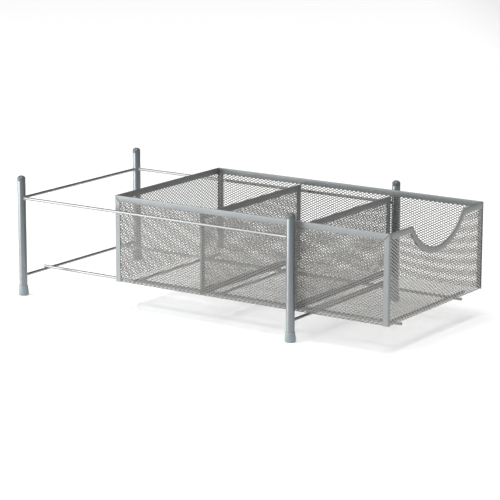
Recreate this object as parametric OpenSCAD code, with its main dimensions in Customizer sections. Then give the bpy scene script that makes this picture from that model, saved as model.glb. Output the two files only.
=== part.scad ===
// Sliding mesh basket organizer: a three-compartment expanded-metal basket that
// slides on two runner wires inside a four-post tube and wire frame.
// Millimetres. +Z up, the basket pulls out toward -Y, left is -X.
// Drawn with the basket pulled out by pull_out from its closed position.

/* [Frame] */
// distance between the post axes across the frame (X)
post_span_x = 295.4; // [286:0.2:330]
// distance between the post axes along the frame (Y)
post_span_y = 496; // [494:1:540]
// overall height from the floor to the top of the caps
overall_h = 189.5; // [187:0.5:215]
// post tube outside diameter
tube_d = 12.7; // [12:0.1:13.5]
// post tube wall thickness
tube_wall = 1.0; // [0.8:0.1:1.5]
// diameter of the rails and the wires
rod_d = 4.5; // [4:0.1:5]
// height of the top rails' axes above the floor
top_rail_z = 154; // [140:1:160]
// height of the lower cross rails' axes above the floor
cross_rail_z = 31; // [26:0.5:36]
// distance of the runner wires from the middle of the frame
runner_x = 93.6; // [80:0.2:105]

/* [Basket] */
// basket width over the rim
basket_w = 274.2; // [262:0.2:276]
// basket length over the rim
basket_l = 480.6; // [465:0.2:482]
// height of the rim's top edge above the floor
rim_z = 176.5; // [172:0.5:180]
// width of the flat steel edging, seen face on
band_h = 9.5; // [8:0.1:11]
// thickness of the edging over both legs
band_t = 2.4; // [2.2:0.1:3]
// thickness of the mesh sheet
mesh_t = 0.8; // [0.6:0.1:1]
// distance from the front face to the front divider
divider_front_y = 160.3; // [120:1:190]
// distance from the front face to the rear divider
divider_rear_y = 323.3; // [290:1:360]
// how far the basket is drawn out of the frame
pull_out = 170; // [0:1:240]

/* [Scoop] */
// radius of the scooped grip in the front panel
scoop_r = 85; // [80:1:90]
// height of the bottom of the scoop above the floor
scoop_z = 134.8; // [130:0.5:140]
// radius where the scoop runs into the top edge
scoop_round = 9; // [8.5:0.5:9.5]

/* [Hidden] */
$fn = 48;

foot_h = 15;
foot_r = 8.25;
foot_floor = 3;
cap_h = 8;
tube_r = tube_d / 2;
rod_r = rod_d / 2;
tube_top = overall_h - cap_h;

// closed basket: its rear face stands 0.45 mm in front of the rear top rail
rear_closed = post_span_y / 2 - rod_r - 0.45;
front_now = rear_closed - basket_l - pull_out;
// the drawing is shifted along Y so that its box is centred on the origin
low_y = min(front_now, -post_span_y / 2 - foot_r);
high_y = post_span_y / 2 + foot_r;
y_shift = -(low_y + high_y) / 2;

px = post_span_x / 2;
py_front = y_shift - post_span_y / 2;
py_rear = y_shift + post_span_y / 2;

bx = basket_w / 2;
yf = front_now + y_shift;
yr = yf + basket_l;

runner_z = cross_rail_z + rod_d;
wire_z = runner_z + rod_d + 0.3;
guide_z = wire_z - rod_d;
guide_x = runner_x - rod_d - 1.1;
base_z = wire_z + rod_r;

// edging section: outer leg, slot for the mesh, inner leg
leg_t = band_t / 2 - mesh_t / 2 - 0.1;
mesh_in = band_t / 2 - mesh_t / 2;
web_t = 0.8;
scoop_c = scoop_z + scoop_r;
big = 1000;

steel = [0.66, 0.69, 0.71];
wire = [0.78, 0.79, 0.79];
dark = [0.45, 0.48, 0.47];
mesh_c = [0.70, 0.69, 0.66];
tip = [0.55, 0.60, 0.64];

// post tube, open at both ends; the foot and the cap close it
module post(x, y) {
    color(steel) translate([x, y, foot_floor]) difference() {
        cylinder(r = tube_r, h = tube_top - foot_floor);
        translate([0, 0, -1]) cylinder(r = tube_r - tube_wall, h = tube_top - foot_floor + 2);
    }
}

// domed cap with a plug that sits in the tube
module cap(x, y) {
    color(dark) translate([x, y, tube_top]) union() {
        intersection() {
            cylinder(r = tube_r, h = cap_h);
            translate([0, 0, cap_h - 7.5]) sphere(r = 7.5);
        }
        translate([0, 0, -9]) cylinder(r = tube_r - tube_wall - 0.1, h = 9);
    }
}

// cup-shaped foot around the lower end of the tube
module foot(x, y) {
    color(tip) translate([x, y, 0]) rotate_extrude() difference() {
        polygon([[0, 0], [foot_r - 1, 0], [foot_r - 0.3, 0.3], [foot_r, 1], [foot_r, 5],
                 [tube_r + 0.75, foot_h], [0, foot_h]]);
        translate([0, foot_floor]) square([tube_r + 0.05, foot_h]);
    }
}

module rod_x(x0, x1, y, z) {
    translate([x0, y, z]) rotate([0, 90, 0]) cylinder(r = rod_r, h = x1 - x0);
}

module rod_y(x, y0, y1, z) {
    translate([x, y0, z]) rotate([-90, 0, 0]) cylinder(r = rod_r, h = y1 - y0);
}

module post_hole(x, y) {
    translate([x, y, 0]) cylinder(r = tube_r, h = overall_h);
}

// side rail, its ends shaped to the posts
module side_rail(x) {
    color(wire) difference() {
        rod_y(x, py_front, py_rear, top_rail_z);
        post_hole(x, py_front);
        post_hole(x, py_rear);
    }
}

// rail from post to post across the frame
module cross_rail(y, z) {
    color(dark) difference() {
        rod_x(-px, px, y, z);
        post_hole(-px, y);
        post_hole(px, y);
    }
}

module runner(x) {
    color(wire) rod_y(x, py_front - 3, py_rear + 3, runner_z);
}

// basket outline with rounded upright corners
module basket_block() {
    r = band_t;
    translate([-bx + r, yf, 0]) cube([2 * bx - 2 * r, basket_l, overall_h]);
    translate([-bx, yf + r, 0]) cube([2 * bx, basket_l - 2 * r, overall_h]);
    for (x = [-bx + r, bx - r]) for (y = [yf + r, yr - r])
        translate([x, y, 0]) cylinder(r = r, h = overall_h);
}

// edge of the side panel that carries the upright strip, mitred to the rim
module mitre_front(h) {
    translate([0, 0, 0]) rotate([90, 0, 90]) linear_extrude(h)
        polygon([[yf - 1, base_z], [yf + band_h, base_z], [yf + band_h, rim_z - band_h],
                 [yf, rim_z], [yf - 1, rim_z + 1]]);
}

module mitre_rear(h) {
    rotate([90, 0, 90]) linear_extrude(h)
        polygon([[yr + 1, base_z], [yr - band_h, base_z], [yr - band_h, rim_z - band_h],
                 [yr, rim_z], [yr + 1, rim_z + 1]]);
}

// right-hand side rim: a folded channel over the top of the mesh
module rim_side() {
    difference() {
        intersection() {
            translate([bx - band_t, yf - 1, rim_z - band_h]) cube([band_t, basket_l + 2, band_h]);
            basket_block();
        }
        translate([bx - band_t + leg_t, yf + mesh_in - 0.1, rim_z - band_h - 1])
            cube([band_t - 2 * leg_t, basket_l - 2 * mesh_in + 0.2, band_h + 1 - web_t]);
        translate([bx - mesh_in, 0, 0]) mitre_front(5);
        translate([bx - mesh_in, 0, 0]) mitre_rear(5);
    }
}

module strip_front() {
    color(steel) intersection() {
        translate([bx - mesh_in, 0, 0]) mitre_front(mesh_in);
        basket_block();
    }
}

module strip_rear() {
    color(steel) intersection() {
        translate([bx - mesh_in, 0, 0]) mitre_rear(mesh_in);
        basket_block();
    }
}

// what the scoop removes from the front panel, shrunk by d all round
module scoop_cut(d) {
    fx = sqrt(pow(scoop_r + scoop_round, 2) - pow(scoop_c - rim_z + scoop_round, 2));
    fz = rim_z - scoop_round;
    k = scoop_r / (scoop_r + scoop_round);
    translate([0, scoop_c]) circle(r = scoop_r + d, $fn = 96);
    for (s = [-1, 1]) difference() {
        polygon([[s * fx, fz], [s * fx, rim_z + 20], [s * (fx - 25), rim_z + 20],
                 [s * fx * k, fz + (scoop_c - fz) * (1 - k)]]);
        translate([s * fx, fz]) circle(r = scoop_round - d);
    }
}

// front panel face, d inside its top edge
module front_face(w, d) {
    difference() {
        translate([-w, base_z]) square([2 * w, rim_z - d - base_z]);
        scoop_cut(d);
    }
}

module rim_front() {
    w = bx - band_t;
    color(dark) translate([0, yf, 0]) rotate([90, 0, 0]) difference() {
        translate([0, 0, -band_t]) linear_extrude(band_t) difference() {
            front_face(w, 0);
            difference() {
                translate([-w - 1, base_z - 1]) square([2 * w + 2, rim_z - band_h - base_z + 1]);
                translate([0, scoop_c]) circle(r = scoop_r + band_h, $fn = 96);
            }
        }
        translate([0, 0, -band_t + leg_t]) linear_extrude(band_t - 2 * leg_t) front_face(w + 1, web_t);
    }
}

module mesh_front() {
    color(mesh_c) translate([0, yf + mesh_in + mesh_t, 0]) rotate([90, 0, 0]) linear_extrude(mesh_t)
        intersection() {
            front_face(bx - mesh_in - mesh_t, web_t + 0.2);
            union() {
                translate([-bx, base_z]) square([2 * bx, rim_z - band_h - base_z - 0.1]);
                translate([-bx + band_t + 0.1, base_z]) square([2 * (bx - band_t) - 0.2, overall_h]);
            }
        }
}

module rim_rear() {
    w = bx - band_t;
    color(dark) translate([-w, yr - band_t, rim_z - band_h]) difference() {
        cube([2 * w, band_t, band_h]);
        translate([-1, leg_t, -1]) cube([2 * w + 2, band_t - 2 * leg_t, band_h + 1 - web_t]);
    }
}

module mesh_rear() {
    w = bx - mesh_in - mesh_t;
    n = bx - band_t - 0.1;
    color(mesh_c) union() {
        translate([-w, yr - mesh_in - mesh_t, base_z])
            cube([2 * w, mesh_t, rim_z - band_h - base_z - 0.1]);
        translate([-n, yr - mesh_in - mesh_t, base_z]) cube([2 * n, mesh_t, rim_z - web_t - 0.2 - base_z]);
    }
}

module mesh_side(x) {
    color(mesh_c) translate([x, yf + mesh_in, base_z])
        cube([mesh_t, basket_l - 2 * mesh_in, rim_z - web_t - 0.2 - base_z]);
}

module mesh_bottom() {
    w = bx - mesh_in - mesh_t;
    color(mesh_c) translate([-w, yf + mesh_in + mesh_t, base_z])
        cube([2 * w, basket_l - 2 * mesh_in - 2 * mesh_t, mesh_t]);
}

// divider: a mesh panel edged all round with folded channel
div_x = bx - mesh_in - mesh_t - 0.1;
div_z0 = base_z + mesh_t;
div_z1 = rim_z - band_h - 0.3;

module channel_x(y, z, up) {
    // channel along X with its slot open upward or downward
    translate([-div_x, y - band_t / 2, z]) difference() {
        cube([2 * div_x, band_t, band_h]);
        translate([-1, leg_t, up ? web_t : -1]) cube([2 * div_x + 2, band_t - 2 * leg_t, band_h - web_t + 1]);
    }
}

module divider_band_top(y) {
    color(dark) channel_x(y, div_z1 - band_h, false);
}

module divider_band_bottom(y) {
    color(dark) channel_x(y, div_z0, true);
}

module divider_band_side(y) {
    color(dark) translate([div_x - band_h, y - band_t / 2, div_z0 + band_h]) difference() {
        cube([band_h, band_t, div_z1 - div_z0 - 2 * band_h]);
        translate([-1, leg_t, -1]) cube([band_h - web_t + 1, band_t - 2 * leg_t, big]);
    }
}

module divider_mesh(y) {
    color(mesh_c) translate([-div_x + web_t + 0.2, y - mesh_t / 2, div_z0 + web_t + 0.2])
        cube([2 * div_x - 2 * web_t - 0.4, mesh_t, div_z1 - div_z0 - 2 * web_t - 0.4]);
}

module cross_wire(y) {
    color(dark) rod_x(-guide_x - 27, guide_x + 27, y, wire_z);
}

module guide_wire(x) {
    color(wire) rod_y(x, yf + 7, yr - 7, guide_z);
}

post(-px, py_front);  // post_front_left
post(px, py_front);  // post_front_right
post(-px, py_rear);  // post_rear_left
post(px, py_rear);  // post_rear_right
cap(-px, py_front);  // cap_front_left
cap(px, py_front);  // cap_front_right
cap(-px, py_rear);  // cap_rear_left
cap(px, py_rear);  // cap_rear_right
foot(-px, py_front);  // foot_front_left
foot(px, py_front);  // foot_front_right
foot(-px, py_rear);  // foot_rear_left
foot(px, py_rear);  // foot_rear_right
side_rail(-px);  // top_rail_left
side_rail(px);  // top_rail_right
cross_rail(py_rear, top_rail_z);  // top_rail_rear
cross_rail(py_front, cross_rail_z);  // cross_rail_front
cross_rail(py_rear, cross_rail_z);  // cross_rail_rear
runner(-runner_x);  // runner_left
runner(runner_x);  // runner_right
mesh_bottom();
mesh_side(-bx + mesh_in);  // mesh_left
mesh_side(bx - mesh_in - mesh_t);  // mesh_right
mesh_front();
mesh_rear();
color(steel) mirror([1, 0, 0]) rim_side();  // rim_left
color(steel) rim_side();  // rim_right
rim_front();
rim_rear();
mirror([1, 0, 0]) strip_front();  // edge_strip_front_left
strip_front();  // edge_strip_front_right
mirror([1, 0, 0]) strip_rear();  // edge_strip_rear_left
strip_rear();  // edge_strip_rear_right
divider_mesh(yf + divider_front_y);  // divider_front_mesh
divider_band_top(yf + divider_front_y);  // divider_front_band_top
divider_band_bottom(yf + divider_front_y);  // divider_front_band_bottom
mirror([1, 0, 0]) divider_band_side(yf + divider_front_y);  // divider_front_band_left
divider_band_side(yf + divider_front_y);  // divider_front_band_right
divider_mesh(yf + divider_rear_y);  // divider_rear_mesh
divider_band_top(yf + divider_rear_y);  // divider_rear_band_top
divider_band_bottom(yf + divider_rear_y);  // divider_rear_band_bottom
mirror([1, 0, 0]) divider_band_side(yf + divider_rear_y);  // divider_rear_band_left
divider_band_side(yf + divider_rear_y);  // divider_rear_band_right
cross_wire(yf + 18);  // cross_wire_1
cross_wire(yf + divider_front_y - 12);  // cross_wire_2
cross_wire(yf + divider_rear_y - 12);  // cross_wire_3
cross_wire(yr - 18);  // cross_wire_4
guide_wire(-guide_x);  // guide_wire_left
guide_wire(guide_x);  // guide_wire_right
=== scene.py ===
import math

import bpy
import numpy as np
from mathutils import Matrix, Vector


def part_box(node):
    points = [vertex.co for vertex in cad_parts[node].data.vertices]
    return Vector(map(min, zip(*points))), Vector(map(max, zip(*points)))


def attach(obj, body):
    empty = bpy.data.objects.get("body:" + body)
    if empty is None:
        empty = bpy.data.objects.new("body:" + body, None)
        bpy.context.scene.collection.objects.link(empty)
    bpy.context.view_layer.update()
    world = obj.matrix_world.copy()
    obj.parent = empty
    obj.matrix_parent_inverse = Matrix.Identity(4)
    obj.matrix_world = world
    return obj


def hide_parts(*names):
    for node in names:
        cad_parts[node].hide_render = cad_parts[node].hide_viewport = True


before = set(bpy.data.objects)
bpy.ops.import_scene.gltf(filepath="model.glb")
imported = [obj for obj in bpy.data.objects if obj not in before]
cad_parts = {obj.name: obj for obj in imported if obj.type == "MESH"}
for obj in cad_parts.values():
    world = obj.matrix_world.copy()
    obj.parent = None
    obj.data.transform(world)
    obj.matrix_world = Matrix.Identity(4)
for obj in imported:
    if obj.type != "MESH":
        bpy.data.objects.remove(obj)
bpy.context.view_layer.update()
MM = 0.001


# ---------------------------------------------------------------- sizes, from the CAD nodes
def lo(n):
    return [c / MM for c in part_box(n)[0]]


def hi(n):
    return [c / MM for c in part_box(n)[1]]


YF, YR = lo("rim_left")[1], hi("rim_left")[1]
BX = hi("rim_right")[0]
RIM_Z = hi("rim_left")[2]
BAND_H = RIM_Z - lo("rim_left")[2]
BAND_T = hi("rim_left")[0] - lo("rim_left")[0]
MESH_T = hi("mesh_left")[0] - lo("mesh_left")[0]
BASE_Z = lo("mesh_bottom")[2]
XM = (hi("mesh_right")[0] + lo("mesh_right")[0]) / 2  # middle of the side sheet
YM_F = (hi("mesh_front")[1] + lo("mesh_front")[1]) / 2
YM_R = (hi("mesh_rear")[1] + lo("mesh_rear")[1]) / 2
ZM = (hi("mesh_bottom")[2] + lo("mesh_bottom")[2]) / 2
SCOOP_R = 85.0
SCOOP_C = lo("rim_front")[2] + BAND_H + SCOOP_R
SCOOP_ROUND = 9.0


# ---------------------------------------------------------------- materials
def nodes_of(name):
    m = bpy.data.materials.new(name)
    m.use_nodes = True
    nt = m.node_tree
    nt.nodes.clear()
    out = nt.nodes.new("ShaderNodeOutputMaterial")
    bsdf = nt.nodes.new("ShaderNodeBsdfPrincipled")
    nt.links.new(bsdf.outputs["BSDF"], out.inputs["Surface"])
    tc = nt.nodes.new("ShaderNodeTexCoord")
    return m, nt, bsdf, tc


def noise(nt, tc, scale, detail=2.0, rough=0.5, stretch=None):
    n = nt.nodes.new("ShaderNodeTexNoise")
    n.inputs["Scale"].default_value = scale
    n.inputs["Detail"].default_value = detail
    n.inputs["Roughness"].default_value = rough
    if stretch:
        mp = nt.nodes.new("ShaderNodeMapping")
        mp.inputs["Scale"].default_value = stretch
        nt.links.new(tc.outputs["Object"], mp.inputs["Vector"])
        nt.links.new(mp.outputs["Vector"], n.inputs["Vector"])
    else:
        nt.links.new(tc.outputs["Object"], n.inputs["Vector"])
    return n


def ramp(nt, src, stops):
    r = nt.nodes.new("ShaderNodeValToRGB")
    els = r.color_ramp.elements
    while len(els) < len(stops):
        els.new(0.5)
    for e, (p, c) in zip(els, stops):
        e.position = p
        e.color = (*c, 1) if len(c) == 3 else c
    nt.links.new(src, r.inputs["Fac"])
    return r


def mul(nt, a, b):
    n = nt.nodes.new("ShaderNodeMix")
    n.data_type = "RGBA"
    n.blend_type = "MULTIPLY"
    n.inputs["Factor"].default_value = 1.0
    nt.links.new(a, n.inputs["A"])
    nt.links.new(b, n.inputs["B"])
    return n.outputs["Result"]


def maprange(nt, src, lo_, hi_, f0=0.3, f1=0.7):
    n = nt.nodes.new("ShaderNodeMapRange")
    n.inputs["From Min"].default_value = f0
    n.inputs["From Max"].default_value = f1
    n.inputs["To Min"].default_value = lo_
    n.inputs["To Max"].default_value = hi_
    nt.links.new(src, n.inputs["Value"])
    return n.outputs["Result"]


def powder(name, colour, metallic, r0, r1, flake=0.10, cloud=0.05, peel=0.035, coat=0.0):
    """Silver powder coat: metal flake speckle, faint clouds of tone, orange peel in the surface."""
    m, nt, bsdf, tc = nodes_of(name)
    fl = noise(nt, tc, 2600.0, 1.0, 0.6)
    cl = noise(nt, tc, 38.0, 3.0, 0.55)
    f = ramp(nt, fl.outputs["Fac"], [(0.30, [c * (1 - flake) for c in colour]),
                                     (0.52, colour),
                                     (0.74, [min(1, c * (1 + flake * 1.3)) for c in colour])])
    c = ramp(nt, cl.outputs["Fac"], [(0.32, (1 - cloud,) * 3), (0.68, (1.0, 1.0, 1.0))])
    nt.links.new(mul(nt, f.outputs["Color"], c.outputs["Color"]), bsdf.inputs["Base Color"])
    bsdf.inputs["Metallic"].default_value = metallic
    rn = noise(nt, tc, 420.0, 2.0, 0.5)
    nt.links.new(maprange(nt, rn.outputs["Fac"], r0, r1), bsdf.inputs["Roughness"])
    pn = noise(nt, tc, 1100.0, 2.0, 0.5)
    bump = nt.nodes.new("ShaderNodeBump")
    bump.inputs["Strength"].default_value = peel
    bump.inputs["Distance"].default_value = 0.00008
    nt.links.new(pn.outputs["Fac"], bump.inputs["Height"])
    nt.links.new(bump.outputs["Normal"], bsdf.inputs["Normal"])
    if coat:
        bsdf.inputs["Coat Weight"].default_value = coat
        bsdf.inputs["Coat Roughness"].default_value = 0.22
    return m


def plastic(name, colour, r0, r1, grain=0.15):
    m, nt, bsdf, tc = nodes_of(name)
    a = noise(nt, tc, 900.0, 2.0, 0.6)
    b = noise(nt, tc, 60.0, 2.0, 0.5)
    f = ramp(nt, a.outputs["Fac"], [(0.35, [c * 0.93 for c in colour]), (0.65, [min(1, c * 1.05) for c in colour])])
    c = ramp(nt, b.outputs["Fac"], [(0.3, (0.95,) * 3), (0.7, (1.0, 1.0, 1.0))])
    nt.links.new(mul(nt, f.outputs["Color"], c.outputs["Color"]), bsdf.inputs["Base Color"])
    nt.links.new(maprange(nt, b.outputs["Fac"], r0, r1), bsdf.inputs["Roughness"])
    bump = nt.nodes.new("ShaderNodeBump")
    bump.inputs["Strength"].default_value = grain
    bump.inputs["Distance"].default_value = 0.00006
    nt.links.new(a.outputs["Fac"], bump.inputs["Height"])
    nt.links.new(bump.outputs["Normal"], bsdf.inputs["Normal"])
    return m


M_POST = powder("post_steel_paint", (0.228, 0.240, 0.247), 0.80, 0.29, 0.34, flake=0.015, peel=0.003)
M_RAIL = powder("rail_steel_paint", (0.305, 0.305, 0.30), 0.90, 0.24, 0.34, flake=0.05, peel=0.02)
M_BAND = powder("band_steel_paint", (0.246, 0.251, 0.251), 0.42, 0.33, 0.44, flake=0.05)
# one mesh paint in two copies: the side and bottom sheet take the darker one, the end panels and dividers a lighter
# one, painted light for how those faces are lit
M_MESH = powder("mesh_steel_paint", (0.238, 0.229, 0.216), 0.60, 0.32, 0.44, peel=0.02)
M_MESH_PAINTED_LIGHTER = powder("mesh_paint_painted_lighter", (0.415, 0.399, 0.375), 0.60, 0.32, 0.44, peel=0.02)
M_CAP = plastic("cap_plastic_dark", (0.10, 0.12, 0.115), 0.26, 0.36)
M_FOOT = plastic("foot_plastic_grey", (0.24, 0.28, 0.295), 0.34, 0.46)


# ---------------------------------------------------------------- mesh helpers
def make(name, verts, faces, mat, body, nodes=(), smooth=True, sharp=None):
    me = bpy.data.meshes.new(name)
    me.from_pydata([tuple(float(c) * MM for c in v) for v in verts], [], [tuple(f) for f in faces])
    me.validate()
    me.update()
    return finish_piece(name, me, mat, body, nodes, smooth, sharp)


def finish_piece(name, me, mat, body, nodes, smooth, sharp):
    me.materials.append(mat)
    if smooth:
        me.polygons.foreach_set("use_smooth", np.ones(len(me.polygons), bool))
        if sharp is not None:
            me.set_sharp_from_angle(angle=math.radians(sharp))
    ob = bpy.data.objects.new(name, me)
    bpy.context.scene.collection.objects.link(ob)
    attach(ob, body)
    if nodes:
        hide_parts(*nodes)
    return ob


def lathe(profile, segs, centre, axis="Z"):
    """Closed surface of revolution; profile is [(r, h), ...] from one pole to the other."""
    verts, faces, rings = [], [], []
    for r, h in profile:
        if r < 1e-6:
            rings.append([len(verts)])
            verts.append((0.0, 0.0, h))
        else:
            ring = []
            for k in range(segs):
                a = 2 * math.pi * k / segs
                ring.append(len(verts))
                verts.append((r * math.cos(a), r * math.sin(a), h))
            rings.append(ring)
    for p, q in zip(rings, rings[1:]):
        for k in range(segs):
            k2 = (k + 1) % segs
            if len(p) == 1:
                faces.append((p[0], q[k2], q[k]))
            elif len(q) == 1:
                faces.append((p[k], p[k2], q[0]))
            else:
                faces.append((p[k], p[k2], q[k2], q[k]))
    out = []
    for x, y, z in verts:
        if axis == "X":
            x, y, z = z, x, y
        elif axis == "Y":
            x, y, z = y, z, x
        out.append((x + centre[0], y + centre[1], z + centre[2]))
    return out, faces


def join(parts):
    verts, faces = [], []
    for v, f in parts:
        o = len(verts)
        verts += list(v)
        faces += [tuple(i + o for i in t) for t in f]
    return verts, faces


def arc(cx, cy, r, a0, a1, n):
    return [(cx + r * math.cos(math.radians(a0 + (a1 - a0) * k / n)),
             cy + r * math.sin(math.radians(a0 + (a1 - a0) * k / n))) for k in range(n + 1)]


# ---------------------------------------------------------------- posts, caps, feet
CORNERS = ["front_left", "front_right", "rear_left", "rear_right"]
for c in CORNERS:
    p0, p1 = lo("post_" + c), hi("post_" + c)
    x, y, r = (p0[0] + p1[0]) / 2, (p0[1] + p1[1]) / 2, (p1[0] - p0[0]) / 2
    ri = r - 1.0
    prof = [(ri, p0[2] + 0.2), (ri + 0.2, p0[2]), (r - 0.2, p0[2]), (r, p0[2] + 0.2),
            (r, p1[2] - 0.5), (r - 0.12, p1[2] - 0.18), (r - 0.4, p1[2]), (ri + 0.2, p1[2]),
            (ri, p1[2] - 0.2)]
    v, f = lathe(prof, 64, (x, y, 0))
    # close the tube's wall back along its bore
    n = 64
    last, first = len(v) - n, 0
    f += [(last + k, last + (k + 1) % n, first + (k + 1) % n, first + k) for k in range(n)]
    make("post_%s_tube" % c, v, f, M_POST, "frame", ["post_" + c], sharp=40)

    cz = p1[2]
    top = hi("cap_" + c)[2]
    R = 7.5
    cc = top - R
    dome = [(math.sqrt(max(0, R * R - (z - cc) ** 2)), z)
            for z in [cc + R * math.sin(math.radians(a)) for a in (33.5, 40, 47, 54, 61, 68, 75, 82, 87)]]
    dome = [(min(r, q[0]), q[1]) for q in dome]
    prof = [(0, cz - 9), (ri - 0.5, cz - 9), (ri - 0.1, cz - 8.6), (ri - 0.1, cz - 0.05), (r - 0.35, cz - 0.02),
            (r - 0.02, cz + 0.25), (r, cz + 0.6), (r, cz + 2.2), (r - 0.06, cz + 3.6)] + \
           [q for q in dome if q[1] > cz + 3.9] + [(0, top)]
    v, f = lathe(prof, 64, (x, y, 0))
    make("cap_%s_dome" % c, v, f, M_CAP, "frame", ["cap_" + c], sharp=50)

    f0, f1 = lo("foot_" + c), hi("foot_" + c)
    fr = (f1[0] - f0[0]) / 2
    h = f1[2]
    prof = [(0, 0.35), (fr - 2.6, 0.35), (fr - 2.2, 0.0), (fr - 1.3, 0.0), (fr - 0.75, 0.12), (fr - 0.3, 0.45),
            (fr - 0.06, 1.0), (fr, 1.8), (fr, 4.2), (fr - 0.08, 5.2), (fr - 0.32, 7.2), (fr - 0.62, 9.4),
            (fr - 0.85, 11.4), (r + 0.85, h - 1.4), (r + 0.72, h - 0.5), (r + 0.5, h - 0.1), (r + 0.3, h),
            (r + 0.06, h - 0.2), (r + 0.05, 3.0), (0, 3.0)]
    v, f = lathe(prof, 64, (x, y, 0))
    make("foot_%s_cup" % c, v, f, M_FOOT, "frame", ["foot_" + c], sharp=50)


# ---------------------------------------------------------------- rails and wires
def rod(name, node, axis, mat, body, weld_ends=False, domed=True, beads=()):
    a, b = lo(node), hi(node)
    i = "XYZ".index(axis)
    j = 1 if i == 0 else 0
    r = (b[2] - a[2]) / 2
    c = [(a[k] + b[k]) / 2 for k in range(3)]
    c[i] = 0
    s, e = a[i], b[i]
    if weld_ends:
        # the CAD box ends at the coped tips, which already reach round the post
        prof = [(0, s)] + [(r + 0.95, s), (r + 0.80, s + 0.45), (r + 0.42, s + 0.85), (r + 0.12, s + 1.3), (r, s + 2.0)]
        m = [(r, s + (e - s) * k / 12) for k in range(1, 12)]
        prof += m + [(q[0], e - (q[1] - s)) for q in reversed(prof)]
    else:
        prof = [(0, s), (r * 0.55, s + 0.12), (r * 0.86, s + 0.5), (r, s + 1.1)]
        m = [(r, s + (e - s) * k / 12) for k in range(1, 12)]
        prof += m + [(q[0], e - (q[1] - s)) for q in reversed(prof)]
    parts = [lathe(prof, 32, c, axis)]
    for bx_, by_, bz_, rad, sq in beads:
        bp = [(0, -rad * sq)] + [(rad * math.cos(math.radians(t)), rad * sq * math.sin(math.radians(t)))
                                 for t in (-65, -40, -15, 15, 40, 65)] + [(0, rad * sq)]
        parts.append(lathe(bp, 20, (bx_, by_, bz_)))
    v, f = join(parts)
    return make(name, v, f, mat, body, [node], sharp=50)


TR = lo("top_rail_left")
RUN_Z = (lo("runner_left")[2] + hi("runner_left")[2]) / 2
CR_Z = hi("cross_rail_front")[2]
yc_f = (lo("cross_rail_front")[1] + hi("cross_rail_front")[1]) / 2
yc_r = (lo("cross_rail_rear")[1] + hi("cross_rail_rear")[1]) / 2
rod("top_rail_left_rod", "top_rail_left", "Y", M_RAIL, "frame", True)
rod("top_rail_right_rod", "top_rail_right", "Y", M_RAIL, "frame", True)
rod("top_rail_rear_rod", "top_rail_rear", "X", M_RAIL, "frame", True)
rod("cross_rail_front_rod", "cross_rail_front", "X", M_RAIL, "frame", True)
rod("cross_rail_rear_rod", "cross_rail_rear", "X", M_RAIL, "frame", True)
for side in ("left", "right"):
    n = "runner_" + side
    x = (lo(n)[0] + hi(n)[0]) / 2
    rod(n + "_rod", n, "Y", M_RAIL, "frame", False,
        beads=[(x, yc_f, CR_Z, 1.7, 0.55), (x, yc_r, CR_Z, 1.7, 0.55)])
wires = ["cross_wire_%d" % k for k in (1, 2, 3, 4)]
wy = [(lo(w)[1] + hi(w)[1]) / 2 for w in wires]
for w in wires:
    rod(w + "_rod", w, "X", M_RAIL, "basket")
for side in ("left", "right"):
    n = "guide_wire_" + side
    x = (lo(n)[0] + hi(n)[0]) / 2
    rod(n + "_rod", n, "Y", M_RAIL, "basket",
        beads=[(x, y, hi(n)[2], 1.7, 0.55) for y in wy])


# ---------------------------------------------------------------- expanded metal
def clip(poly, axis, limit, keep_less):
    out = []
    n = len(poly)
    for k in range(n):
        p, q = poly[k], poly[(k + 1) % n]
        dp = (limit - p[axis]) if keep_less else (p[axis] - limit)
        dq = (limit - q[axis]) if keep_less else (q[axis] - limit)
        if dp >= -1e-7:
            out.append(p)
        if (dp > 1e-7 and dq < -1e-7) or (dp < -1e-7 and dq > 1e-7):
            t = dp / (dp - dq)
            out.append(tuple(a + (b - a) * t for a, b in zip(p, q)))
    return out


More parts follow.
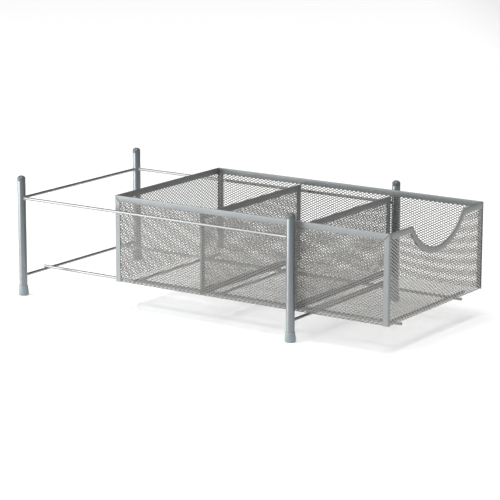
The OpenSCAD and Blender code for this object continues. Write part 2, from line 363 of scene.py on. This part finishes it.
def expanded(name, a, b, strand, origin, rects, keep, mapping, nodes, thick=0.34, tilt=0.30, crown=0.05,
             select=None, mat=None):
    """Expanded metal: diamonds a long and b high, laid over rects in (u, v) and carried to 3-D by mapping."""
    nrm = math.hypot(b / 2, a / 2)
    k0 = (b / 2 / nrm) * (a / 2) - strand / 2
    hx, hy = k0 / (b / 2 / nrm), k0 / (a / 2 / nrm)
    outer = [(a / 2, 0), (a / 4, b / 4), (0, b / 2), (-a / 4, b / 4), (-a / 2, 0), (-a / 4, -b / 4), (0, -b / 2), (a / 4, -b / 4)]
    inner = [(hx * 0.87, 0), (hx / 2, hy / 2), (0, hy * 0.93), (-hx / 2, hy / 2), (-hx * 0.87, 0), (-hx / 2, -hy / 2),
             (0, -hy * 0.93), (hx / 2, -hy / 2)]
    wi = [0, 0.75, 1, 0.75, 0, -0.75, -1, -0.75]
    ring = np.zeros((8, 4, 4))
    for k in range(8):
        k2 = (k + 1) % 8
        ring[k, 0] = (*outer[k], 0, 1)
        ring[k, 1] = (*outer[k2], 0, 1)
        ring[k, 2] = (*inner[k2], wi[k2], 0)
        ring[k, 3] = (*inner[k], wi[k], 0)
    quads, loose = [], []
    for (u0, u1, v0, v1) in rects:
        j0, j1 = int((v0 - origin[1]) / (b / 2)) - 3, int((v1 - origin[1]) / (b / 2)) + 3
        i0, i1 = int((u0 - origin[0]) / a) - 3, int((u1 - origin[0]) / a) + 3
        jj, ii = np.meshgrid(np.arange(j0, j1 + 1), np.arange(i0, i1 + 1), indexing="ij")
        cu = origin[0] + ii * a + (jj % 2) * a / 2
        cv = origin[1] + jj * b / 2
        cu, cv = cu.ravel(), cv.ravel()
        m = (cu > u0 - a / 2) & (cu < u1 + a / 2) & (cv > v0 - b / 2) & (cv < v1 + b / 2)
        if keep is not None:
            m &= keep(cu, cv)
        if select is not None:
            m &= select(cu, cv)
        cu, cv = cu[m], cv[m]
        ins = (cu - a / 2 >= u0 - 1e-6) & (cu + a / 2 <= u1 + 1e-6) & (cv - b / 2 >= v0 - 1e-6) & (cv + b / 2 <= v1 + 1e-6)
        add = np.zeros((int(ins.sum()), 1, 1, 4))
        add[:, 0, 0, 0], add[:, 0, 0, 1] = cu[ins], cv[ins]
        if ins.any():
            quads.append((ring[None] + add).reshape(-1, 4, 4))
        for x, y in zip(cu[~ins], cv[~ins]):
            for k in range(8):
                poly = [(q[0] + x, q[1] + y, q[2], q[3]) for q in ring[k]]
                for ax, lim, less in ((0, u0, False), (0, u1, True), (1, v0, False), (1, v1, True)):
                    poly = clip(poly, ax, lim, less)
                    if len(poly) < 3:
                        break
                if len(poly) >= 3:
                    loose.append(poly)
    Q = np.concatenate(quads) if quads else np.zeros((0, 4, 4))
    pts = Q.reshape(-1, 4)
    sizes = [4] * len(Q)
    if loose:
        pts = np.concatenate([pts, np.array([p for poly in loose for p in poly])])
        sizes += [len(p) for p in loose]
    sizes = np.array(sizes)
    keys = np.round(pts[:, :2] * 500).astype(np.int64)
    uniq, first, inv = np.unique(keys, axis=0, return_index=True, return_inverse=True)
    inv = inv.ravel()
    vert = pts[first]
    # drop polygons that collapsed when corners merged
    starts = np.concatenate([[0], np.cumsum(sizes)[:-1]])
    nxt = np.arange(len(inv)) + 1
    ends = starts + sizes - 1
    nxt[ends] = starts
    bad_edge = inv == inv[nxt]
    polyid = np.repeat(np.arange(len(sizes)), sizes)
    if bad_edge.any():
        polys = []
        bad = set(polyid[bad_edge].tolist())
        loops, ns = [], []
        for pi in range(len(sizes)):
            l = inv[starts[pi]:starts[pi] + sizes[pi]].tolist()
            if pi in bad:
                l = [x for k, x in enumerate(l) if x != l[k - 1]]
                if len(l) < 3:
                    continue
            loops += l
            ns.append(len(l))
        inv, sizes = np.array(loops), np.array(ns)
        starts = np.concatenate([[0], np.cumsum(sizes)[:-1]])
        nxt = np.arange(len(inv)) + 1
        nxt[starts + sizes - 1] = starts
    nv = len(vert)
    e0, e1 = inv, inv[nxt]
    ek = np.minimum(e0, e1).astype(np.int64) * nv + np.maximum(e0, e1)
    _, einv, cnt = np.unique(ek, return_inverse=True, return_counts=True)
    edge = cnt[einv.ravel()] == 1
    P, N = mapping(vert[:, 0], vert[:, 1])
    w = vert[:, 2] * tilt
    c = vert[:, 3] * crown
    front = P + N * (w + thick / 2 + c)[:, None]
    back = P + N * (w - thick / 2 - c)[:, None]
    # orientation of the (u, v) rings against the outward normal
    i = 0
    l = inv[starts[i]:starts[i] + sizes[i]]
    d = np.cross(front[l[1]] - front[l[0]], front[l[2]] - front[l[1]])
    flip = float(d @ N[l[0]]) < 0
    order = np.arange(len(inv))
    rev = (np.repeat(starts + sizes - 1, sizes) - (order - np.repeat(starts, sizes)))
    fl, bl = (inv[rev], inv) if flip else (inv, inv[rev])
    b0, b1 = e0[edge], e1[edge]
    if flip:
        b0, b1 = b1, b0
    walls = np.stack([b0, b0 + nv, b1 + nv, b1], 1).ravel()
    loops = np.concatenate([fl, bl + nv, walls]).astype(np.int32)
    sz = np.concatenate([sizes, sizes, np.full(len(b0), 4)]).astype(np.int32)
    co = np.concatenate([front, back]) * MM
    me = bpy.data.meshes.new(name)
    me.vertices.add(len(co))
    me.vertices.foreach_set("co", co.astype(np.float32).ravel())
    me.loops.add(len(loops))
    me.loops.foreach_set("vertex_index", loops)
    me.polygons.add(len(sz))
    me.polygons.foreach_set("loop_start", np.concatenate([[0], np.cumsum(sz)[:-1]]).astype(np.int32))
    me.polygons.foreach_set("loop_total", sz)
    me.update(calc_edges=True)
    me.validate()
    return finish_piece(name, me, mat or M_MESH, "basket", nodes, True, None)


# one sheet folded round the bottom: down the left side, across, up the right side
RB = 2.0
TOP = RIM_Z - 1.0
H1 = TOP - (ZM + RB)
ARC = RB * math.pi / 2
WD = 2 * (XM - RB)
V1, V2, V3, V4 = H1, H1 + ARC, H1 + ARC + WD, H1 + 2 * ARC + WD
VEND = V4 + H1


def fold_sides(u, v):
    P = np.zeros((len(u), 3))
    N = np.zeros((len(u), 3))
    P[:, 1] = u
    for m, f in (
        (v <= V1, lambda s: (np.full_like(s, -XM), TOP - s, np.full_like(s, -1.0), np.zeros_like(s))),
        ((v > V1) & (v <= V2), lambda s: (-XM + RB - RB * np.cos((s - V1) / RB), ZM + RB - RB * np.sin((s - V1) / RB),
                                          -np.cos((s - V1) / RB), -np.sin((s - V1) / RB))),
        ((v > V2) & (v <= V3), lambda s: (-XM + RB + (s - V2), np.full_like(s, ZM), np.zeros_like(s), np.full_like(s, -1.0))),
        ((v > V3) & (v <= V4), lambda s: (XM - RB + RB * np.sin((s - V3) / RB), ZM + RB - RB * np.cos((s - V3) / RB),
                                          np.sin((s - V3) / RB), -np.cos((s - V3) / RB))),
        (v > V4, lambda s: (np.full_like(s, XM), ZM + RB + (s - V4), np.full_like(s, 1.0), np.zeros_like(s))),
    ):
        x, z, nx, nz = f(v[m])
        P[m, 0], P[m, 2], N[m, 0], N[m, 2] = x, z, nx, nz
    return P, N


A_S, B_S = 7.75, 3.88   # diamond of the folded side and bottom sheet
A_E, B_E = 7.75, 4.95   # diamond of the end panels and dividers
STRAND = 0.93
STRAND_E = 0.98
u_lo, u_hi = YF + 5.2, YR - 5.2
side_rect = (YF + 4.6, YR - 4.6, 0.6, VEND - 0.6)
org_s = (YF + 1.0, V1 + ARC / 2 - B_S / 2 * 35)
vmid_l, vmid_r = V1 + ARC / 2, V3 + ARC / 2
DF = (lo("divider_front_mesh")[1] + hi("divider_front_mesh")[1]) / 2
DR = (lo("divider_rear_mesh")[1] + hi("divider_rear_mesh")[1]) / 2
for nm, a0, a1 in (("front", -1e9, (DF + DR) / 2), ("rear", (DF + DR) / 2, 1e9)):
    expanded("mesh_left_expanded_" + nm, A_S, B_S, STRAND, org_s, [side_rect], None, fold_sides, ["mesh_left"],
             select=lambda u, v, a0=a0, a1=a1: (v < vmid_l) & (u >= a0) & (u < a1))
    expanded("mesh_right_expanded_" + nm, A_S, B_S, STRAND, org_s, [side_rect], None, fold_sides, ["mesh_right"],
             select=lambda u, v, a0=a0, a1=a1: (v >= vmid_r) & (u >= a0) & (u < a1))
for nm, a0, a1 in (("front", -1e9, DF), ("middle", DF, DR), ("rear", DR, 1e9)):
    expanded("mesh_bottom_expanded_" + nm, A_S, B_S, 0.88, org_s, [side_rect], None, fold_sides, ["mesh_bottom"],
             tilt=-0.16, thick=0.16, crown=0.02, select=lambda u, v, a0=a0, a1=a1: (v >= vmid_l) & (v < vmid_r) & (u >= a0) & (u < a1))

# end panels: flat, turned round the upright corners and in under the bottom
RE = 2.0
U0 = XM - RE
VE0 = TOP - (ZM + RE)


def fold_end(ym, sg):
    """sg 1: the panel faces -Y (front); -1: it faces +Y (rear)."""
    def f(u, v):
        P = np.zeros((len(u), 3))
        N = np.zeros((len(u), 3))
        au, su = np.abs(u), np.sign(u)
        th = np.clip((au - U0) / RE, 0, math.pi / 2)
        past = np.maximum(0, au - U0 - RE * math.pi / 2)
        x = np.where(au <= U0, u, su * (U0 + RE * np.sin(th)))
        y = ym + sg * (RE * (1 - np.cos(th)) + past)
        tv = np.clip((v - VE0) / RE, 0, math.pi / 2)
        vp = np.maximum(0, v - VE0 - RE * math.pi / 2)
        z = np.where(v <= VE0, TOP - v, ZM + RE - RE * np.sin(tv))
        y = y + sg * np.where(v > VE0, RE * (1 - np.cos(tv)) + vp, 0)
        P[:, 0], P[:, 1], P[:, 2] = x, y, z
        N[:, 0] = su * np.sin(th)
        N[:, 1] = -sg * np.cos(th) * np.cos(tv)
        N[:, 2] = -np.sin(tv)
        N /= np.linalg.norm(N, axis=1)[:, None]
        return P, N
    return f


UE = U0 + RE * math.pi / 2 + 1.6
VE = VE0 + RE * math.pi / 2 + 1.4
end_rects = [(-UE, UE, 0.6, VE0), (-U0, U0, VE0, VE)]


def keep_scoop(u, v):
    z = TOP - v
    dc = np.hypot(u, z - SCOOP_C) - SCOOP_R
    return ~(((dc < 4.9) | (z > RIM_Z - 4.0)) & (np.abs(u) < 92) & (z > SCOOP_C - SCOOP_R - 6) & ((dc < 4.9) | (z > RIM_Z - 3.6)))


org_e = (0.0, VE0 - B_E / 2 * 30)
# the end panels take the lighter copy of the mesh paint, painted light
expanded("mesh_front_expanded", A_E, B_E, STRAND_E, org_e, end_rects, keep_scoop, fold_end(YM_F, 1), ["mesh_front"], mat=M_MESH_PAINTED_LIGHTER)
expanded("mesh_rear_expanded", A_E, B_E, STRAND_E, org_e, end_rects, None, fold_end(YM_R, -1), ["mesh_rear"], mat=M_MESH_PAINTED_LIGHTER)


def flat_at(y):
    def f(u, v):
        P = np.stack([u, np.full_like(u, y), v], 1)
        N = np.zeros_like(P)
        N[:, 1] = -1
        return P, N
    return f


for d, y in (("front", DF), ("rear", DR)):
    n = "divider_%s_mesh" % d
    a0, a1 = lo(n), hi(n)
    # the dividers take the lighter copy of the mesh paint, painted light
    expanded("divider_%s_expanded" % d, A_E, B_E, 0.84, (0.0, (a0[2] + a1[2]) / 2),
             [(a0[0] + 0.3, a1[0] - 0.3, a0[2] + 0.3, a1[2] - 0.3)], None, flat_at(y), [n], mat=M_MESH_PAINTED_LIGHTER)


# ---------------------------------------------------------------- folded edging
def u_profile(h, t, gap=0.55, web=0.9, r=0.9):
    """Section of the folded channel as (depth from the top edge, across), a closed ring."""
    o = t / 2
    pts = [(h, -o + 0.12), (h - 0.25, -o)]
    pts += [(r + 2.5, -o)]
    pts += [(r - r * math.sin(math.radians(a)), -o + r - r * math.cos(math.radians(a))) for a in (0, 22, 45, 68, 90)]
    pts += [(r - r * math.sin(math.radians(a)), o - r + r * math.cos(math.radians(a))) for a in (90, 68, 45, 22, 0)]
    pts += [(r + 2.5, o), (h - 0.25, o), (h, o - 0.12), (h, gap + 0.08), (h - 0.2, gap), (web, gap), (web, -gap), (h - 0.2, -gap),
            (h, -gap - 0.08)]
    return pts


def sweep(rings, cap=True):
    """rings[k] is the section at station k, every section with the same number of points."""
    m = len(rings[0])
    verts = [p for r in rings for p in r]
    faces = []
    for k in range(len(rings) - 1):
        for i in range(m):
            i2 = (i + 1) % m
            faces.append((k * m + i, k * m + i2, (k + 1) * m + i2, (k + 1) * m + i))
    if cap:
        faces.append(tuple(reversed(range(m))))
        faces.append(tuple((len(rings) - 1) * m + i for i in range(m)))
    return verts, faces


def band(name, path, down, node, prof, mat=None):
    """path: list of (point, across direction); down: unit vector into the panel."""
    rings = []
    for p, t in path:
        rings.append([tuple(p[i] + down[i] * d + t[i] * s for i in range(3)) for d, s in prof])
    v, f = sweep(rings)
    me_obj = make(name, v, f, mat or M_BAND, "basket", [node], sharp=38)
    fix_normals(me_obj)
    return me_obj


def fix_normals(ob):
    import bmesh
    bm = bmesh.new()
    bm.from_mesh(ob.data)
    bmesh.ops.recalc_face_normals(bm, faces=bm.faces)
    bm.to_mesh(ob.data)
    bm.free()


PROF = u_profile(BAND_H, BAND_T)
XC = BX - BAND_T / 2          # centreline of the side edging
YCF, YCR = YF + BAND_T / 2, YR - BAND_T / 2
RC = 1.35                     # corner radius of that centreline
GAP = 1.0                    # open seam along the mitre
X_END = BX - 4.0              # where the side edging stops on the end faces
for side, sx in (("left", -1), ("right", 1)):
    path = [((sx * X_END, YCF, RIM_Z), (0, -1, 0))]
    for k in range(0, 9):
        a = math.radians(90 * k / 8)
        path.append(((sx * (XC - RC + RC * math.sin(a)), YCF + RC - RC * math.cos(a), RIM_Z),
                     (sx * math.sin(a), -math.cos(a), 0)))
    for yy in [YF + 3.6, YF + 4.6, YF + 6, YF + 8, YF + 10] + [YF + 10.5 + (YR - YF - 21) * k / 20 for k in range(21)] + \
            [YR - 10, YR - 8, YR - 6, YR - 4.6, YR - 3.6]:
        path.append(((sx * XC, yy, RIM_Z), (sx, 0, 0)))
    for k in range(0, 9):
        a = math.radians(90 * k / 8)
        path.append(((sx * (XC - RC + RC * math.cos(a)), YCR - RC + RC * math.sin(a), RIM_Z),
                     (sx * math.cos(a), math.sin(a), 0)))
    path.append(((sx * X_END, YCR, RIM_Z), (0, 1, 0)))
    rings = []
    for p, t in path:
        k = min(p[1] - YF, YR - p[1]) - GAP + 0.2
        on_side = abs(p[0]) > XC - 1e-6
        ring = []
        for d, q in PROF:
            dd = d if q < 0.3 else min(d, max(k, 1.4))
            ring.append((p[0] + t[0] * q, p[1] + t[1] * q, p[2] - dd))
        rings.append(ring)
    v, f = sweep(rings)
    fix_normals(make("rim_%s_fold" % side, v, f, M_BAND, "basket", ["rim_" + side], sharp=38))

rear = [((-X_END + 0.12 + (2 * X_END - 0.24) * k / 20, YCR, RIM_Z), (0, 1, 0)) for k in range(21)]
band("rim_rear_fold", rear, (0, 0, -1), "rim_rear", PROF)


def scoop_ring(d, w):
    """Points (x, z) along the front edge, offset d into the panel, with the same count for every d."""
    r = max(SCOOP_ROUND - d, 0.35)
    zc = RIM_Z - d - r
    R = SCOOP_R + d
    cx = math.sqrt((R + r) ** 2 - (SCOOP_C - zc) ** 2)
    ang = math.atan2(zc - SCOOP_C, cx)                 # direction from the scoop centre to the fillet centre
    left = []
    n1, n2, n3 = 10, 14, 36
    for k in range(n1):
        left.append((-w + (w - cx) * k / n1, RIM_Z - d))
    a0, a1 = math.pi / 2, math.pi + ang + math.pi       # fillet on the left, mirrored below
    pts = []
    for k in range(n2):
        t = math.pi / 2 + (ang + math.pi - math.pi / 2) * k / n2   # from straight up round to the scoop
        pts.append((cx + r * math.cos(t), zc + r * math.sin(t)))
    right_fil = pts
    left_fil = [(-x, z) for x, z in right_fil]
    a_l, a_r = math.pi - ang, ang + 2 * math.pi
    arc_pts = []
    for k in range(n3 + 1):
        t = (-math.pi - ang) + (ang - (-math.pi - ang)) * k / n3
        arc_pts.append((R * math.cos(t), SCOOP_C + R * math.sin(t)))
    right = [(-x, z) for x, z in reversed(left)]
    return left + left_fil + arc_pts + list(reversed(right_fil)) + right


w_front = X_END - 0.12
cols = []
for d, s in PROF:
    cols.append([(x, YCF - s, z) for x, z in scoop_ring(d, w_front)])
rings = [[cols[i][k] for i in range(len(PROF))] for k in range(len(cols[0]))]
# soften the two lower end corners of the front edging
for e in (0, len(rings) - 1):
    for i, (d, s) in enumerate(PROF):
        x, y, z = rings[e][i]
        if d > BAND_H - 0.5:
            rings[e][i] = (x, y, z + 0.9)
v, f = sweep(rings)
ob = make("rim_front_fold", v, f, M_BAND, "basket", ["rim_front"], sharp=38)
fix_normals(ob)

# upright strips, folded round the corners, their tops mitred over the rim
for side, sx in (("left", -1), ("right", 1)):
    for end, ye, sg in (("front", YF, 1), ("rear", YR, -1)):
        out_r, thick = RC + BAND_T / 2 + 0.16, 0.75
        cx, cy = BX + 0.16 - out_r, ye - 0.16 * sg + sg * out_r
        cols = []
        zt = RIM_Z - 0.75
        for k in range(0, 9):
            yy = BAND_H + (out_r - 0.16 - BAND_H) * k / 8
            cols.append((BX + 0.16, ye + sg * yy, 1, 0, zt - yy if k < 8 else zt - yy))
        z_last = cols[-1][4]
        for k in range(1, 11):
            a = math.radians(90 * k / 10)
            zz = z_last + (zt - z_last) * min(1.0, k / 7)
            cols.append((cx + out_r * math.cos(a), cy - sg * out_r * math.sin(a), math.cos(a), -sg * math.sin(a), zz))
        cols.append((cx - 0.15, ye - 0.16 * sg, 0, -sg, zt))
        rings = []
        z0 = BASE_Z + 0.5
        for x, y, nx, ny, z1 in cols:
            ring = []
            for dep, dz in ((0.12, 0), (0, 0.14), (0, None), (0.12, None), (thick, None), (thick, 0)):
                top = dz is None
                z = z1 if top else z0 + dz
                if top and dep == 0:
                    z = z1 - 0.14
                ring.append((sx * (x - nx * dep), y - ny * dep, z))
            rings.append(ring)
        v, f = sweep(rings)
        ob = make("edge_strip_%s_%s_fold" % (end, side), v, f, M_BAND, "basket",
                  ["edge_strip_%s_%s" % (end, side)], sharp=38)
        fix_normals(ob)

# divider edging
for d, y in (("front", DF), ("rear", DR)):
    for part in ("top", "bottom", "left", "right"):
        n = "divider_%s_band_%s" % (d, part)
        a0, a1 = lo(n), hi(n)
        prof = u_profile(BAND_H, BAND_T)
        if part in ("top", "bottom"):
            z, down = (a1[2], (0, 0, -1)) if part == "top" else (a0[2], (0, 0, 1))
            path = [((a0[0] + (a1[0] - a0[0]) * k / 16, y, z), (0, -1, 0)) for k in range(17)]
        else:
            x, down = (a0[0], (1, 0, 0)) if part == "left" else (a1[0], (-1, 0, 0))
            path = [((x, y, a0[2] - 0.1 + (a1[2] - a0[2] + 0.2) * k / 8), (0, -1, 0)) for k in range(9)]
        band("divider_%s_edge_%s" % (d, part), path, down, n, prof)

# ---------------------------------------------------------------- stage
# a glossy white table top that glows a little though it is no lamp, painted light that keeps its shadows light; its
# glow and its colour fall off towards the front right as painted shade
fm, nt, bsdf, tc = nodes_of("stage_floor_white")
bsdf.inputs["Base Color"].default_value = (0.90, 0.90, 0.90, 1)
bsdf.inputs["Roughness"].default_value = 0.07
bsdf.inputs["Emission Color"].default_value = (1, 1, 1, 1)
# painted shade: towards the front right the floor's glow drops from 0.34 to 0.16 and its colour from 0.90 to 0.78
gv = nt.nodes.new("ShaderNodeVectorMath")
gv.operation = "DOT_PRODUCT"
gv.inputs[1].default_value = (0.56, -0.83, 0)
nt.links.new(tc.outputs["Object"], gv.inputs[0])
gr = nt.nodes.new("ShaderNodeMapRange")
gr.interpolation_type = "SMOOTHSTEP"
for k, v in (("From Min", 0.60), ("From Max", 1.10), ("To Min", 0.34), ("To Max", 0.16)):
    gr.inputs[k].default_value = v
nt.links.new(gv.outputs["Value"], gr.inputs["Value"])
nt.links.new(gr.outputs["Result"], bsdf.inputs["Emission Strength"])
floor_painted_shade_ramp = ramp(nt, gv.outputs["Value"], [(0.60, (0.90, 0.90, 0.90)), (1.0, (0.78, 0.78, 0.78))])
nt.links.new(floor_painted_shade_ramp.outputs["Color"], bsdf.inputs["Base Color"])
fm.cycles.emission_sampling = "NONE"
me = bpy.data.meshes.new("stage_floor")
S = 40.0
me.from_pydata([(-S, -S, 0), (S, -S, 0), (S, S, 0), (-S, S, 0)], [], [(0, 1, 2, 3)])
me.materials.append(fm)
floor = bpy.data.objects.new("stage_floor", me)
bpy.context.scene.collection.objects.link(floor)
floor.location = (0, 0, -0.0002)


def light_at(name, kind, towards):
    li = bpy.data.lights.new(name, kind)
    o = bpy.data.objects.new(name, li)
    bpy.context.scene.collection.objects.link(o)
    o.rotation_mode = "QUATERNION"
    o.rotation_quaternion = (-Vector(towards).normalized()).to_track_quat("-Z", "Y")
    return li, o


# overhead soft box: shadows fall straight down
top, _ = light_at("overhead", "SUN", (-0.10, 0.02, 1.0))
top.energy = 1.80
top.angle = math.radians(30)
# low strip behind and a little to the left, which draws the bright line down each post
strip, so = light_at("strip", "AREA", (-0.45, 0.90, 0.20))
strip.shape = "RECTANGLE"
strip.size, strip.size_y = 1.7, 1.25
strip.energy = 25
strip.color = (0.93, 0.97, 1.0)
so.location = (-1.00, 2.05, 0.66)
# a small soft box low on the left, nearer the back, so the left side pales towards the rear
side, ao = light_at("side_box", "AREA", (-0.76, 0.64, 0.12))
side.shape = "RECTANGLE"
side.size, side.size_y = 0.60, 0.45
side.energy = 3.2
side.color = (0.92, 0.97, 1.0)
ao.location = (-1.05, 0.85, 0.32)

world = bpy.data.worlds.new("studio")
bpy.context.scene.world = world
world.use_nodes = True
wt = world.node_tree
wt.nodes.clear()
wo = wt.nodes.new("ShaderNodeOutputWorld")
bg = wt.nodes.new("ShaderNodeBackground")
tcw = wt.nodes.new("ShaderNodeTexCoord")


def lobe(direction, d0, d1, strength):
    dot = wt.nodes.new("ShaderNodeVectorMath")
    dot.operation = "DOT_PRODUCT"
    dot.inputs[1].default_value = Vector(direction).normalized()
    wt.links.new(tcw.outputs["Generated"], dot.inputs[0])
    r = wt.nodes.new("ShaderNodeMapRange")
    r.interpolation_type = "SMOOTHSTEP"
    r.inputs["From Min"].default_value = d0
    r.inputs["From Max"].default_value = d1
    r.inputs["To Min"].default_value = 0.0
    r.inputs["To Max"].default_value = strength
    wt.links.new(dot.outputs["Value"], r.inputs["Value"])
    return r.outputs["Result"]


def plus(a, b):
    n = wt.nodes.new("ShaderNodeMath")
    n.operation = "ADD"
    for i, v in ((0, a), (1, b)):
        if isinstance(v, (int, float)):
            n.inputs[i].default_value = v
        else:
            wt.links.new(v, n.inputs[i])
    return n.outputs["Value"]


# the room: a window to the left, a soft box above left, and paler walls in front and behind
left = plus(lobe((-0.82, 0.57, 0.05), 0.84, 0.98, 1.30), lobe((-0.92, -0.38, 0.10), 0.5, 1.0, 0.42))
rest = plus(plus(lobe((-0.60, 0.35, 0.72), 0.6, 1.0, 1.60), lobe((0.15, -0.98, 0.10), 0.5, 1.0, 0.38)),
            plus(lobe((0.81, 0.55, 0.15), 0.55, 0.95, 0.15), 0.10))
mix = wt.nodes.new("ShaderNodeCombineColor")
for k, (cl, cr) in enumerate(((0.85, 1.0), (0.97, 1.0), (1.07, 0.98))):
    sc = []
    for src, c in ((left, cl), (rest, cr)):
        n = wt.nodes.new("ShaderNodeMath")
        n.operation = "MULTIPLY"
        n.inputs[1].default_value = c
        wt.links.new(src, n.inputs[0])
        sc.append(n.outputs["Value"])
    wt.links.new(plus(sc[0], sc[1]), mix.inputs[k])
wt.links.new(mix.outputs["Color"], bg.inputs["Color"])
wt.links.new(bg.outputs["Background"], wo.inputs["Surface"])
bpy.context.scene.view_settings.view_transform = "Standard"
bpy.context.scene.cycles.denoising_prefilter = "NONE"   # keeps the mesh crisp

# ---------------------------------------------------------------- camera
az, el, roll = math.radians(-55.97), math.radians(12.81), math.radians(0.12)
back = Vector((math.sin(az) * math.cos(el), -math.cos(az) * math.cos(el), math.sin(el)))
right = Vector((0, 0, 1)).cross(back).normalized()
up = back.cross(right)
r2_ = right * math.cos(roll) + up * math.sin(roll)
u2_ = up * math.cos(roll) - right * math.sin(roll)
Y0 = (lo("post_front_left")[1] + hi("post_rear_left")[1]) / 2
target = Vector((32.13, -56.49 + Y0, 77.06)) * MM
cam = bpy.data.cameras.new("photo_camera")
cam.sensor_width = 36.0
cam.lens = 159.59
cam.clip_start, cam.clip_end = 0.05, 100
co = bpy.data.objects.new("photo_camera", cam)
bpy.context.scene.collection.objects.link(co)
rot = Matrix((r2_, u2_, back)).transposed()
co.matrix_world = Matrix.Translation(target + back * 3.4223) @ rot.to_4x4()
bpy.context.scene.camera = co
